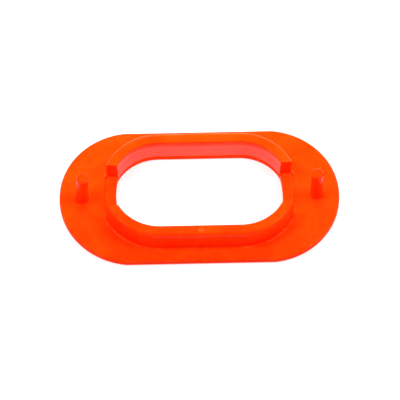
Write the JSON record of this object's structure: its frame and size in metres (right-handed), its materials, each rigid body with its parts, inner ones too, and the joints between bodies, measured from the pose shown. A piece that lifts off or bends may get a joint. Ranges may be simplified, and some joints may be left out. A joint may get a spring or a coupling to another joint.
{
  "type": "carton hand-hole ring half",
  "caption": "Oval plastic ring with a slotted collar and two pegs: one half of a snap-together grip that lines the hand hole of a carton.",
  "frame": {"origin": "middle of the show face, on the surface that the part lies on", "axes": "+X along the ring's length, +Y across it, +Z from the show face towards the peg tips"},
  "size_m": [0.1, 0.0526, 0.0176],
  "materials": {
    "orange_plastic": "glossy fluorescent orange moulded plastic, slightly milky"
  },
  "bodies": {
    "root": {"flange_plate": "orange_plastic", "upper_collar_arch": "orange_plastic", "lower_collar_arch": "orange_plastic", "left_sill": "orange_plastic", "right_sill": "orange_plastic", "left_peg": "orange_plastic", "right_peg": "orange_plastic"}
  },
  "joints": []
}
